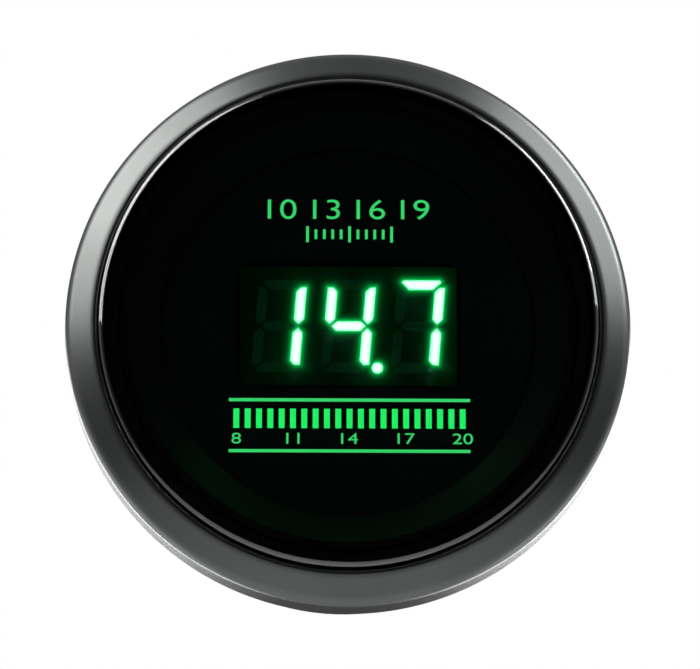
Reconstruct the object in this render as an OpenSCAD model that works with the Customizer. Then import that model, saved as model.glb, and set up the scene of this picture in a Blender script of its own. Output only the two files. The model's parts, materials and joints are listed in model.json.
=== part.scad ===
// Air fuel ratio gauge: a round panel instrument with a three digit display.
// Every module is drawn in the gauge's own frame: x to the right of the face, y up the face
// and z out of the face, with z = 0 where the flange seats on the panel. stand_up() turns
// this into the part's frame, where the face looks along -Y and +Z is up.

/* [Cup] */
// Outer radius of the cup, which passes through the panel's hole
cup_r = 26; // [25:0.5:34]
// Wall of the cup
cup_wall = 1.6; // [1.2:0.1:2]
// Depth of the cup behind the panel
cup_depth = 26; // [25:1:40]
// How far the seat flange reaches past the cup's side
flange_over = 2.9; // [2.4:0.1:4]
// Thickness of the seat flange
flange_t = 1.2; // [0.8:0.1:1.6]
// Height of the cup's front rim above the panel
rim_h = 5; // [4.5:0.1:6.5]
// Depth of the bezel's thread, as the step from flange to collar
thread_step = 0.7; // [0.4:0.1:1]

/* [Bezel] */
// Wall of the bezel's skirt where it hides the flange
skirt_wall = 0.8; // [0.6:0.1:1.5]
// Height of the bezel's straight side above the panel
bezel_side_h = 6.2; // [5.5:0.1:6.8]
// Width of the bezel's sloping face, seen from the front
bezel_face_w = 3.5; // [3:0.1:5]
// Depth of the lip that holds the lens down
lip_t = 2; // [1.6:0.1:2.8]
// Radius of the rounded shoulder
shoulder_round = 1.8; // [1:0.1:2.2]
// Radius of the rounding on the lip's front edge
lip_round = 0.4; // [0.3:0.1:0.9]

/* [Lens] */
// How far the lens's flange reaches under the lip
lens_hold = 0.9; // [0.6:0.1:1.2]
// Thickness of the lens's flange
lens_flange_t = 1; // [0.8:0.1:1.4]
// How far the lens's front stands out of the lip
lens_rise = 0.4; // [0.2:0.1:0.8]
// Radius of the lens's polished edge
lens_round = 0.9; // [0.5:0.1:1.3]
// Slope of the polished edge where it meets the lens's side
lens_edge_slope = 50; // [40:5:70]
// Height of the crown at the middle of the lens
lens_crown = 0.2; // [0.1:0.05:0.5]
// Thickness of the gasket under the lens
gasket_t = 0.6; // [0.4:0.1:1]
// Width of the gasket's ring
gasket_w = 1.6; // [1:0.1:1.8]

/* [Dial] */
// Depth of the dial behind the front of the bezel
dial_depth = 7.2; // [6:0.1:8]
// Distance from the cup's bore in to the edge of the dial
dial_inset = 4.4; // [3.6:0.1:6]
// Thickness of the tinted front sheet of the dial
filter_t = 0.8; // [0.5:0.1:1.2]
// Thickness of the light mask behind the sheet
mask_t = 1.2; // [0.8:0.1:1.6]
// Wall of the light mask's skirt and chambers
mask_wall = 0.8; // [0.6:0.1:0.9]
// Height of the upper legend window
upper_window_h = 6; // [4:0.5:6]
// Width of the upper legend window
upper_window_w = 18.6; // [14:0.2:19]
// Height of the lower legend window
lower_window_h = 6.8; // [5:0.1:7]
// Width of the lower legend window
lower_window_w = 27.4; // [22:0.2:28]

/* [Display] */
// Height of a digit
digit_h = 10.1; // [8:0.1:10.3]
// Width of a digit
digit_w = 5.15; // [4.6:0.05:5.4]
// Distance from one digit to the next
digit_pitch = 7.4; // [7.2:0.1:7.6]
// Width of a segment
seg_w = 1.07; // [0.8:0.01:1.2]
// Gap between the mitred ends of two segments
seg_gap = 0.3; // [0.2:0.05:0.4]
// How much of an upright segment's mitred tip is cut off
seg_tip = 0.6; // [0.2:0.05:0.7]
// How much of a level segment's mitred tip is cut off
bar_tip = 0.22; // [0.1:0.01:0.3]
// Lean of the digits
slant = 5; // [0:1:8]
// Diameter of a decimal point
point_d = 1.2; // [1:0.05:1.3]
// Gap between a digit and its decimal point
point_gap = 0.3; // [0.2:0.05:0.4]
// Height of a decimal point's middle above the digit's foot
point_rise = 0.5; // [0.3:0.05:0.6]
// Rim of the display's body above and below the digits
display_rim = 1.45; // [1.3:0.05:1.6]
// Depth of the display's body
display_t = 7.4; // [6:0.1:8.4]
// Height of the display's middle above the middle of the face
display_y = 0.85; // [0.7:0.05:1]

/* [Boards] */
// Thickness of a circuit board
board_t = 1.6; // [1:0.2:1.6]
// Space between the display board and the main board
board_space = 7.4; // [7:0.2:8]
// Distance from the main board's edge in to each spacer between the boards
spacer_inset = 3; // [2.8:0.1:3.4]
// Width of a hexagonal spacer across its flats
spacer_af = 4.4; // [4:0.1:4.6]
// Gap between the cup's bore and the main board
board_inset = 2.4; // [2.2:0.1:3]

/* [Rear] */
// Thickness of the rear cover
cover_t = 1.6; // [1.2:0.1:2]
// Thickness of the gasket under the rear cover
cover_gasket_t = 0.4; // [0.3:0.1:0.6]
// Distance from the cup's bore in to each cover screw
cover_screw_inset = 2.4; // [2.3:0.05:2.5]
// Length of the connector's shroud behind the cover
shroud_out = 5; // [4.6:0.2:8]
// Gap between the bracket's lower edge and the connector
connector_gap = 2.6; // [2.4:0.1:2.7]

/* [Clamp] */
// Radius of a mounting stud
stud_r = 2; // [1.5:0.25:2.25]
// Distance from the cup's side in to each mounting stud
stud_inset = 8; // [7.8:0.1:8.5]
// Length of a stud behind the cup
stud_out = 24.5; // [24:0.5:32]
// Thickness of the bracket's steel strap
strap_t = 1.5; // [1:0.1:2]
// Width of the bracket's strap
strap_w = 13; // [11:0.5:13]
// Gap between the cup's side and the bracket's legs
leg_gap = 1.1; // [1.1:0.1:2]
// Thickness of the panel that the bracket's feet are set for
panel_t = 3; // [2.5:0.5:4]
// Distance from the cup's rear to the bracket's bridge
bridge_gap = 6; // [5.6:0.2:8]
// Inner radius of the strap's bends
bend_r = 1.5; // [1:0.25:2.5]
// Radius of a thumb nut
nut_r = 4.5; // [4.2:0.1:5.5]
// Length of a thumb nut's knurled head
nut_head_t = 4.2; // [3.5:0.1:5]
// Length of a thumb nut's plain collar
nut_collar_t = 1.6; // [1:0.1:2]
// Number of ridges around a thumb nut
nut_ridges = 26; // [18:1:32]

/* [Hidden] */

// Smoothness of round shapes
$fn = 96;
// Points on a rounded edge
arc_steps = 8;
// Ends that cut past a face
over = 1;
// Clearance between pieces that are laid in each other
fit = 0.1;
// Clearance between pieces that turn or slide in each other
run_gap = 0.15;
// Clearance between a piece and the bore that it drops into
drop_gap = 0.3;

// Front of the gauge
cup_bore_r = cup_r - cup_wall;
flange_r = cup_r + flange_over;
collar_r = flange_r - thread_step;
bezel_bore_r = flange_r + drop_gap;
bezel_r = bezel_bore_r + skirt_wall;
lip_r = bezel_r - bezel_face_w;
thread_bore_r = collar_r + run_gap;
lens_flange_r = lip_r + lens_hold;
lens_bore_r = lens_flange_r + drop_gap;
lens_body_r = lip_r - 2 * fit;
gasket_r = lens_flange_r - 2 * fit;
lens_z = rim_h + gasket_t;
lens_top_z = lens_z + lens_flange_t;
front_z = lens_top_z + lip_t;
thread_z = flange_t + drop_gap;
thread_top_z = rim_h + 2 * fit;
skirt_z = run_gap;
skirt_edge = 0.25;

// Dial and its light mask
stack_r = cup_bore_r - drop_gap;
dial_r = cup_bore_r - dial_inset;
sheet_front_z = front_z - dial_depth;
sheet_back_z = sheet_front_z - filter_t;
mask_back_z = sheet_back_z - mask_t;
ring_wall = 0.8;
window_gap = 1.15;
display_x = 0.1;
display_w = 2 * (digit_pitch + digit_w / 2 + point_gap + point_d + fit);
display_h = digit_h + 2 * display_rim;
display_top_y = display_y + display_h / 2;
display_low_y = display_y - display_h / 2;
upper_window_y = display_top_y + window_gap + upper_window_h / 2 + mask_wall;
lower_window_y = display_low_y - window_gap - lower_window_h / 2;

// Display
display_front_z = sheet_back_z - fit;
display_back_z = display_front_z - display_t;
well_depth = 1.4;
well_gap = 0.02;
lit_names = [["b", "c"], ["f", "g", "b", "c"], ["a", "b", "c"]];
all_names = ["a", "b", "c", "d", "e", "f", "g"];
lit_point = 1;
point_place = [digit_w / 2 + point_gap + point_d / 2, point_rise - digit_h / 2];
pin_pitch = 2.54;
pin_r = 0.25;
pin_hole_r = 0.4;
pins_in_row = 6;
pin_row_inset = 1.2;
pin_row_reach = display_h / 2 - pin_row_inset;
pin_out = 2;

// Boards
board_r = stack_r;
display_board_z = display_back_z - board_t;
main_top_z = display_board_z - board_space;
main_low_z = main_top_z - board_t;
shelf_t = 1.5;
shelf_w = 1.8;
main_board_r = cup_bore_r - board_inset;
spacer_reach = main_board_r - spacer_inset;
spacer_angles = [30, 150, 270];
spacer_bore_r = 1.3;
screw_r = 1.2;
screw_hole_r = 1.35;
screw_head_r = 2.1;
screw_head_t = 1.3;
screw_bite = 3;
slot_w = 0.6;
slot_d = 0.7;
led_size = [3.5, 2.8, 1.9];
led_round = 1.1;
led_dish = 0.3;
upper_led_share = 0.25;
lower_led_share = 0.315;
resistor_size = [2, 1.25, 0.6];
link_w = 2.5;
link_gap = 0.45;
link_y = display_low_y - link_gap - link_w / 2;
link_count = 5;
link_pin_w = 0.6;
link_hole_r = 0.5;
link_pin_out = 0.8;
chip_w = 7;
chip_t = 1.2;
chip_share = [0.14, 0.18];
chip_mark_r = 0.3;
lead_w = 0.3;
lead_pitch = 0.8;
lead_count = 8;
lead_foot = 0.9;
lead_t = 0.2;
crystal_size = [11, 4.4, 3.4];
crystal_share = [-0.09, 0.6];
regulator_size = [6.6, 6, 2.3];
regulator_share = [-0.32, 0.42];
regulator_tab = 1.5;
regulator_tab_t = 0.5;
can_r = 3.15;
can_base_w = 6.6;
can_base_t = 0.7;
can_gap = 1.6;
can_shares = [[0.075, 0.43], [0.39, 0.43]];
coil_size = [6, 6, 2.6];
coil_core_r = 2.2;
coil_groove = 0.3;
coil_share = [0.43, -0.3];
chip_resistor_shares = [[-0.6, 0.05], [-0.6, -0.1], [-0.5, -0.3], [-0.6, -0.43],
    [-0.16, 0.06], [0, 0.06], [0.16, 0.06]];

// Rear
cover_r = cup_bore_r - 2 * fit;
rear_z = -cup_depth;
cover_front_z = rear_z + cover_t;
ledge_z = cover_front_z + cover_gasket_t;
ledge_w = 1.1;
ledge_t = 1.2;
can_t = main_low_z - can_base_t - can_gap - cover_front_z;
boss_r = 2.6;
boss_bore_r = 1.2;
boss_bore_depth = 3.6;
boss_depth = 5;
cover_screw_reach = cup_bore_r - cover_screw_inset;
cover_screw_r = 1.1;
cover_screw_bite = 2.8;
cover_screw_angles = [90, 210, 330];
shroud_w = 12.8;
shroud_h = 6.2;
shroud_wall = 0.8;
shroud_cavity = 8;
shroud_key_w = 4;
connector_pins_count = 4;
connector_pin_w = 0.64;
connector_pin_back = 4.4;
connector_z = rear_z - shroud_out;
connector_drop = strap_w / 2 + connector_gap + shroud_h / 2;

// Clamp
hex_af = 7;
hex_t = 2.6;
socket_wall = 0.8;
socket_t = 1.2;
stud_reach = cup_r - stud_inset;
stud_hole_r = stud_r + fit;
bracket_hole_r = stud_r + drop_gap;
nut_bore_r = stud_r + run_gap;
leg_x = cup_r + leg_gap;
bridge_z = rear_z - bridge_gap;
bracket_back_z = bridge_z - strap_t;
foot_z = -panel_t;
foot_notch_r = 3.2;
foot_notch_d = 1.4;
washer_t = 0.9;
washer_w = 1.5;
washer_split = 14;
nut_z = bracket_back_z - washer_t;
nut_shoulder = 1.1;
nut_collar_r = nut_r - nut_shoulder;
ridge_d = 0.35;
ridge_shares = [0, 0.3, 0.5, 0.8];
stud_end_z = rear_z - stud_out;
stud_chamfer = 0.5;

// Helpers

function arc(centre, radius, from, to) =
    [for (i = [0:arc_steps]) let (a = from + (to - from) * i / arc_steps)
        centre + radius * [cos(a), sin(a)]];

function on_board(share) = concat(main_board_r * share, [0]);

module stand_up() {
    rotate([90, 0, 0]) children();
}

module at_angles(reach, angles) {
    for (a = angles) rotate([0, 0, a]) translate([reach, 0, 0]) children();
}

// A plate between two heights, from a flat outline
module slab(low, high) {
    translate([0, 0, low]) linear_extrude(high - low) children();
}

module drum(radius, low, high) {
    slab(low, high) circle(radius);
}

module ring(outer, inner, low, high) {
    slab(low, high) difference() {
        circle(outer);
        circle(inner);
    }
}

module block(size, low, high) {
    slab(low, high) square([size.x, size.y], center = true);
}

// A hexagon of a width across flats, with flats to the left and right
module hexagon(flats) {
    rotate([0, 0, 30]) circle(flats / 2 / cos(30), $fn = 6);
}

// Front of the gauge

module cup() {
    color("dimgray") stand_up() {
        difference() {
            union() {
                drum(cup_r, rear_z, flange_t);
                drum(flange_r, 0, flange_t);
                drum(collar_r, 0, rim_h);
            }
            drum(cup_bore_r, rear_z - over, rim_h + over);
        }
        cup_shelf();
        cup_ledge();
        cup_bosses();
    }
}

// Ring that carries the display board, standing a little into the wall
module cup_shelf() {
    ring(cup_bore_r + fit, cup_bore_r - shelf_w, display_board_z - shelf_t, display_board_z);
}

// Ring that the rear cover's gasket presses on
module cup_ledge() {
    ring(cup_bore_r + fit, cup_bore_r - ledge_w, ledge_z, ledge_z + ledge_t);
}

module cup_bosses() {
    difference() {
        intersection() {
            at_angles(cover_screw_reach, cover_screw_angles) drum(boss_r, ledge_z, ledge_z + boss_depth);
            drum(cup_bore_r + fit, ledge_z, ledge_z + boss_depth);
        }
        at_angles(cover_screw_reach, cover_screw_angles)
            drum(boss_bore_r, ledge_z - over, ledge_z + boss_bore_depth);
    }
}

// Section of the bezel, from the skirt up the side, over the shoulder and the lip and back down inside
module bezel_section() {
    slope = atan((front_z - bezel_side_h) / bezel_face_w);
    shoulder_back = shoulder_round * tan((90 - slope) / 2);
    shoulder = [bezel_r - shoulder_round, bezel_side_h - shoulder_back];
    lip_back = lip_round * tan((90 + slope) / 2);
    lip_top = [lip_r, front_z] + lip_back * [cos(slope), -sin(slope)];
    lip_centre = lip_top - lip_round * [sin(slope), cos(slope)];
    polygon(concat(
        [[bezel_bore_r, skirt_z], [bezel_r - skirt_edge, skirt_z], [bezel_r, skirt_z + skirt_edge]],
        arc(shoulder, shoulder_round, 0, 90 - slope),
        arc(lip_centre, lip_round, 90 - slope, 180),
        [[lip_r, lens_top_z], [lens_bore_r, lens_top_z], [lens_bore_r, thread_top_z],
            [thread_bore_r, thread_top_z], [thread_bore_r, thread_z], [bezel_bore_r, thread_z]]));
}

module bezel() {
    color([0.22, 0.23, 0.23]) stand_up() rotate_extrude() bezel_section();
}

module lens_section() {
    edge_z = front_z + lens_rise - lens_round;
    top_z = front_z + lens_rise;
    flat_r = lens_body_r - lens_round * sin(lens_edge_slope);
    crown_r = (flat_r * flat_r + lens_crown * lens_crown) / (2 * lens_crown);
    crown_angle = asin(flat_r / crown_r);
    polygon(concat(
        [[0, lens_z], [lens_flange_r, lens_z], [lens_flange_r, lens_top_z], [lens_body_r, lens_top_z]],
        arc([flat_r, edge_z], lens_round, 90 - lens_edge_slope, 90 - crown_angle),
        arc([0, top_z + lens_crown - crown_r], crown_r, 90 - crown_angle * (1 - 1 / arc_steps), 90)));
}

module lens() {
    color([0.02, 0.02, 0.02]) stand_up() rotate_extrude() lens_section();
}

module lens_gasket() {
    color([0.1, 0.1, 0.1]) stand_up() ring(gasket_r, gasket_r - gasket_w, rim_h, lens_z);
}

// Flared ring between the dial and the lens
module dial_ring() {
    top_z = lens_z - fit;
    color([0.03, 0.03, 0.03]) stand_up() rotate_extrude() polygon([
        [dial_r, sheet_front_z], [stack_r, sheet_front_z], [stack_r, top_z],
        [stack_r - ring_wall, top_z], [dial_r, sheet_front_z + ring_wall]]);
}

module dial_sheet() {
    color([0.05, 0.06, 0.07]) stand_up() drum(stack_r, sheet_back_z, sheet_front_z);
}

// Light mask

module window(width, height, gap) {
    square([width + 2 * gap, height + 2 * gap], center = true);
}

module mask_windows(gap) {
    translate([display_x, display_y]) window(display_w, display_h, gap);
    translate([0, upper_window_y]) window(upper_window_w, upper_window_h, gap);
    translate([0, lower_window_y]) window(lower_window_w, lower_window_h, gap);
}

module chamber(width, height, y) {
    translate([0, y, 0]) difference() {
        block([width + 2 * mask_wall, height + 2 * mask_wall], display_back_z + fit, mask_back_z + fit);
        block([width, height], display_back_z - over, mask_back_z + over);
    }
}

module light_mask() {
    color([0.06, 0.06, 0.06]) stand_up() {
        difference() {
            drum(stack_r, mask_back_z, sheet_back_z);
            slab(mask_back_z - over, sheet_back_z + over) mask_windows(fit);
        }
        ring(stack_r, stack_r - mask_wall, display_back_z, mask_back_z + fit);
        chamber(upper_window_w + 2 * fit, upper_window_h + 2 * fit, upper_window_y);
        chamber(lower_window_w + 2 * fit, lower_window_h + 2 * fit, lower_window_y);
    }
}

module diffuser(size, y) {
    color([0.85, 0.88, 0.85]) stand_up() translate([0, y, 0]) block(size, mask_back_z, sheet_back_z);
}

module upper_diffuser() {
    diffuser([upper_window_w, upper_window_h], upper_window_y);
}

module lower_diffuser() {
    diffuser([lower_window_w, lower_window_h], lower_window_y);
}

// Display

// Leans a point of a digit
function lean(p) = [p.x + p.y * tan(slant), p.y];

// A bar along x: the middle one is pointed, the others are mitred to blunt tips on their upper side
function bar(half, middle) = middle
    ? [[-half, 0], [-half + seg_w / 2, seg_w / 2], [half - seg_w / 2, seg_w / 2],
        [half, 0], [half - seg_w / 2, -seg_w / 2], [-half + seg_w / 2, -seg_w / 2]]
    : [[-half + 2 * bar_tip, seg_w / 2], [half - 2 * bar_tip, seg_w / 2],
        [half - bar_tip, seg_w / 2 - bar_tip], [half - seg_w, -seg_w / 2],
        [-half + seg_w, -seg_w / 2], [-half + bar_tip, seg_w / 2 - bar_tip]];

// An upright on the right above the middle: it is mitred to a blunt tip and its foot is pointed
function upright(low, high) =
    [[0, low], [seg_w / 2, low + seg_w / 2], [seg_w / 2, high - seg_tip],
        [seg_w / 2 - seg_tip, high - seg_tip], [-seg_w / 2, high - seg_w],
        [-seg_w / 2, low + seg_w / 2]];

// Outline of one named segment about the middle of its digit
function segment(name) =
    let (bar_y = (digit_h - seg_w) / 2, side_x = (digit_w - seg_w) / 2, end_gap = seg_gap * sqrt(2) / 2,
        half = digit_w / 2 - end_gap, low = end_gap, high = digit_h / 2 - end_gap)
    name == "a" ? [for (p = bar(half, false)) [p.x, p.y + bar_y]] :
    name == "d" ? [for (p = bar(half, false)) [p.x, -p.y - bar_y]] :
    name == "g" ? bar(side_x - end_gap, true) :
    name == "b" ? [for (p = upright(low, high)) [p.x + side_x, p.y]] :
    name == "c" ? [for (p = upright(low, high)) [p.x + side_x, -p.y]] :
    name == "f" ? [for (p = upright(low, high)) [-p.x - side_x, p.y]] :
    [for (p = upright(low, high)) [-p.x - side_x, -p.y]];

function is_lit(digit, name) = len([for (lit = lit_names[digit]) if (lit == name) name]) > 0;

// A segment drawn smaller by a gap on each side
module segment_shape(name, gap) {
    points = segment(name);
    centre = [for (axis = [0, 1]) (min([for (p = points) p[axis]]) + max([for (p = points) p[axis]])) / 2];
    polygon([for (p = points) lean(p - gap * [sign(p.x - centre.x), sign(p.y - centre.y)])]);
}

module on_digit(digit) {
    translate([display_x + (digit - 1) * digit_pitch, display_y, 0]) children();
}

module point_shape(radius) {
    translate(lean(point_place)) circle(radius);
}

module display_body() {
    color([0.12, 0.13, 0.12]) stand_up() difference() {
        translate([display_x, display_y, 0]) block([display_w, display_h], display_back_z, display_front_z);
        for (digit = [0:2]) on_digit(digit) slab(display_front_z - well_depth, display_front_z + over) {
            for (name = all_names) segment_shape(name, 0);
            point_shape(point_d / 2);
        }
    }
}

module segment_prisms(lit) {
    for (digit = [0:2]) on_digit(digit) slab(display_front_z - well_depth, display_front_z) {
        for (name = all_names) if (is_lit(digit, name) == lit) segment_shape(name, well_gap);
        if ((digit == lit_point) == lit) point_shape(point_d / 2 - well_gap);
    }
}

module lit_segments() {
    color([0.75, 1, 0.85]) stand_up() segment_prisms(true);
}

module unlit_segments() {
    color([0.1, 0.25, 0.15]) stand_up() segment_prisms(false);
}

module display_pin_places() {
    for (side = [-1, 1], i = [0:pins_in_row - 1]) {
        pin_x = display_x + (i - (pins_in_row - 1) / 2) * pin_pitch;
        translate([pin_x, display_y + side * pin_row_reach, 0]) children();
    }
}

module display_pins() {
    color("silver") stand_up() display_pin_places() drum(pin_r, display_board_z - pin_out, display_back_z);
}

// Boards

module link_pin_places() {
    for (i = [0:link_count - 1])
        translate([(i - (link_count - 1) / 2) * pin_pitch, link_y, 0]) children();
}

module display_board() {
    color("darkgreen") stand_up() difference() {
        drum(board_r, display_board_z, display_back_z);
        at_angles(spacer_reach, spacer_angles)
            drum(screw_hole_r, display_board_z - over, display_back_z + over);
        display_pin_places() drum(pin_hole_r, display_board_z - over, display_back_z + over);
        link_pin_places() drum(link_hole_r, display_board_z - over, display_back_z + over);
    }
}

module led_places() {
    for (side = [-1, 1]) {
        translate([side * upper_window_w * upper_led_share, upper_window_y, 0]) children();
        translate([side * lower_window_w * lower_led_share, lower_window_y, 0]) children();
    }
    translate([0, lower_window_y, 0]) children();
}

module legend_leds() {
    color([0.9, 0.95, 0.85]) stand_up() led_places() difference() {
        block(led_size, display_back_z, display_back_z + led_size.z);
        drum(led_round, display_back_z + led_size.z - led_dish, display_back_z + led_size.z + over);
    }
}

module led_resistors() {
    color([0.08, 0.08, 0.08]) stand_up() led_places() translate([led_size.x / 2 + resistor_size.y, 0, 0])
        block([resistor_size.y, resistor_size.x], display_back_z, display_back_z + resistor_size.z);
}

module board_spacers() {
    color("khaki") stand_up() at_angles(spacer_reach, spacer_angles)
        slab(main_top_z, display_board_z) difference() {
            hexagon(spacer_af);
            circle(spacer_bore_r);
        }
}

// A slotted pan head on a plain shank; the head's seat is at z = 0 and the shank goes down
module screw(shank_r, shank_l, head_r, head_t) {
    difference() {
        union() {
            drum(head_r, 0, head_t);
            drum(shank_r, -shank_l, head_t / 2);
        }
        block([3 * head_r, slot_w], head_t - slot_d, head_t + over);
    }
}

module board_screw() {
    screw(screw_r, board_t + screw_bite, screw_head_r, screw_head_t);
}

module board_screws() {
    color("silver") stand_up() at_angles(spacer_reach, spacer_angles) {
        translate([0, 0, display_back_z]) board_screw();
        translate([0, 0, main_low_z]) mirror([0, 0, 1]) board_screw();
    }
}

module link_header() {
    color([0.08, 0.08, 0.08]) stand_up() difference() {
        translate([0, link_y, 0]) block([link_count * pin_pitch, link_w], main_top_z, display_board_z);
        link_pin_places()
            block([link_pin_w + fit, link_pin_w + fit], main_top_z - over, display_board_z + over);
    }
}

module link_pins() {
    color("gold") stand_up() link_pin_places()
        block([link_pin_w, link_pin_w], main_low_z - link_pin_out, display_back_z + link_pin_out);
}

module connector_pin_places() {
    for (i = [0:connector_pins_count - 1])
        translate([(i - (connector_pins_count - 1) / 2) * pin_pitch, -connector_drop, 0]) children();
}

module main_board() {
    color("darkgreen") stand_up() difference() {
        drum(main_board_r, main_low_z, main_top_z);
        at_angles(cover_screw_reach, cover_screw_angles)
            drum(boss_r + drop_gap, main_low_z - over, main_top_z + over);
        at_angles(spacer_reach, spacer_angles)
            drum(screw_hole_r, main_low_z - over, main_top_z + over);
        link_pin_places() drum(link_hole_r, main_low_z - over, main_top_z + over);
        connector_pin_places() drum(link_hole_r, main_low_z - over, main_top_z + over);
    }
}

module controller_chip() {
    color([0.1, 0.1, 0.1]) stand_up() translate(on_board(chip_share)) difference() {
        block([chip_w, chip_w], main_top_z + fit, main_top_z + fit + chip_t);
        translate([-chip_w / 2 + lead_pitch, chip_w / 2 - lead_pitch, 0])
            drum(chip_mark_r, main_top_z + chip_t, main_top_z + chip_t + over);
    }
}

// Gull wing leads on all four sides of the chip
module controller_leads() {
    reach = chip_w / 2;
    color("silver") stand_up() translate(on_board(chip_share))
        for (turn = [0:90:270], i = [0:lead_count - 1]) rotate([0, 0, turn])
            translate([reach, (i - (lead_count - 1) / 2) * lead_pitch, main_top_z])
                rotate([90, 0, 0]) linear_extrude(lead_w, center = true) lead_section();
}

module lead_section() {
    knee = lead_foot / 3;
    rise = chip_t / 2;
    polygon([[0, rise], [0, rise + lead_t], [knee + lead_t, rise + lead_t], [knee + lead_t, lead_t],
        [lead_foot, lead_t], [lead_foot, 0], [knee, 0], [knee, rise]]);
}

module clock_crystal() {
    middle_w = crystal_size.x - crystal_size.y;
    color("silver") stand_up() translate(on_board(crystal_share))
        slab(main_top_z, main_top_z + crystal_size.z) {
            for (side = [-1, 1]) translate([side * middle_w / 2, 0]) circle(crystal_size.y / 2);
            square([middle_w, crystal_size.y], center = true);
        }
}

module voltage_regulator() {
    body = regulator_size;
    color([0.12, 0.12, 0.12]) stand_up() translate(on_board(regulator_share)) {
        block(body, main_low_z - body.z, main_low_z);
        translate([0, (body.y + regulator_tab) / 2, 0])
            block([body.x - regulator_tab, regulator_tab], main_low_z - regulator_tab_t, main_low_z);
        for (side = [-1, 1]) translate([side * body.x / 3, -(body.y + regulator_tab) / 2, 0])
            block([regulator_tab_t, regulator_tab], main_low_z - regulator_tab_t, main_low_z);
    }
}

module power_capacitors() {
    color("lightgray") stand_up() for (share = can_shares) translate(on_board(share)) {
        block([can_base_w, can_base_w], main_low_z - can_base_t, main_low_z);
        drum(can_r, main_low_z - can_base_t - can_t, main_low_z - can_base_t / 2);
    }
}

module filter_coil() {
    low = main_low_z - coil_size.z;
    color([0.3, 0.3, 0.32]) stand_up() translate(on_board(coil_share)) difference() {
        block(coil_size, low, main_low_z);
        ring(coil_core_r, coil_core_r - coil_groove, low - over, low + coil_groove);
    }
}

module chip_resistors() {
    color([0.08, 0.08, 0.08]) stand_up() for (share = chip_resistor_shares) translate(on_board(share))
        block(resistor_size, main_low_z - resistor_size.z, main_low_z);
}

// Rear

module connector_shroud() {
    floor_z = connector_z + shroud_cavity;
    color([0.1, 0.1, 0.1]) stand_up() difference() {
        translate([0, -connector_drop, 0]) block([shroud_w, shroud_h], connector_z, main_low_z);
        translate([0, -connector_drop, 0])
            block([shroud_w - 2 * shroud_wall, shroud_h - 2 * shroud_wall], connector_z - over, floor_z);
        translate([0, -connector_drop - shroud_h / 2, 0])
            block([shroud_key_w, 3 * shroud_wall], connector_z - over, rear_z - fit);
        connector_pin_places()
            block([connector_pin_w + fit, connector_pin_w + fit], connector_z - over, main_low_z + over);
    }
}

module connector_pins() {
    back_z = connector_z + connector_pin_back;
    color("gold") stand_up() connector_pin_places()
        block([connector_pin_w, connector_pin_w], back_z, main_top_z + link_pin_out);
}

module rear_cover() {
    color("dimgray") stand_up() difference() {
        union() {
            drum(cover_r, rear_z, cover_front_z);
            at_sides()
                slab(cover_front_z - fit, cover_front_z + socket_t)
                    hexagon(hex_af + 2 * fit + 2 * socket_wall);
        }
        at_sides() {
            slab(cover_front_z, cover_front_z + socket_t + over) hexagon(hex_af + 2 * fit);
            drum(stud_hole_r, rear_z - over, cover_front_z + over);
        }
        at_angles(cover_screw_reach, cover_screw_angles)
            drum(boss_bore_r, rear_z - over, cover_front_z + over);
        translate([0, -connector_drop, 0])
            block([shroud_w + 2 * fit, shroud_h + 2 * fit], rear_z - over, cover_front_z + over);
    }
}

module cover_gasket() {
    color([0.1, 0.1, 0.1]) stand_up() difference() {
        intersection() {
            union() {
                ring(cover_r, cup_bore_r - ledge_w, cover_front_z, ledge_z);
                at_angles(cover_screw_reach, cover_screw_angles) drum(boss_r, cover_front_z, ledge_z);
            }
            drum(cover_r, cover_front_z, ledge_z);
        }
        at_angles(cover_screw_reach, cover_screw_angles)
            drum(boss_bore_r, cover_front_z - over, ledge_z + over);
    }
}

module cover_screws() {
    color("silver") stand_up() at_angles(cover_screw_reach, cover_screw_angles)
        translate([0, 0, rear_z]) mirror([0, 0, 1])
            screw(cover_screw_r, cover_t + cover_gasket_t + cover_screw_bite, screw_head_r, screw_head_t);
}

// Clamp

module at_sides() {
    for (side = [-1, 1]) translate([side * stud_reach, 0, 0]) children();
}

module mounting_studs() {
    color("silver") stand_up() at_sides() {
        slab(cover_front_z, cover_front_z + hex_t) hexagon(hex_af);
        translate([0, 0, stud_end_z]) rotate_extrude() polygon([
            [0, 0], [stud_r - stud_chamfer, 0], [stud_r, stud_chamfer],
            [stud_r, cover_front_z + hex_t / 2 - stud_end_z], [0, cover_front_z + hex_t / 2 - stud_end_z]]);
    }
}

// Outline of the bent strap, seen from above: x across the gauge, y along its axis
module strap_outline() {
    outer = leg_x + strap_t;
    bend = bend_r + strap_t;
    corner = outer - bend;
    polygon(concat(
        [[outer, foot_z]],
        arc([corner, bridge_z + bend_r], bend, 0, -90),
        arc([-corner, bridge_z + bend_r], bend, 270, 180),
        [[-outer, foot_z], [-leg_x, foot_z]],
        arc([-corner, bridge_z + bend_r], bend_r, 180, 270),
        arc([corner, bridge_z + bend_r], bend_r, -90, 0),
        [[leg_x, foot_z]]));
}

module clamp_bracket() {
    color([0.62, 0.62, 0.6]) stand_up() difference() {
        rotate([90, 0, 0]) linear_extrude(strap_w, center = true) strap_outline();
        at_sides() drum(bracket_hole_r, bracket_back_z - over, bridge_z + over);
        translate([0, 0, foot_z + foot_notch_r - foot_notch_d]) rotate([0, 90, 0])
            cylinder(r = foot_notch_r, h = 3 * leg_x, center = true);
    }
}

// Split spring washers, drawn closed
module lock_washers() {
    color("silver") stand_up() at_sides() translate([0, 0, nut_z]) rotate([0, 0, washer_split / 2])
        rotate_extrude(angle = 360 - washer_split)
            translate([bracket_hole_r, 0]) square([washer_w, washer_t]);
}

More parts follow.
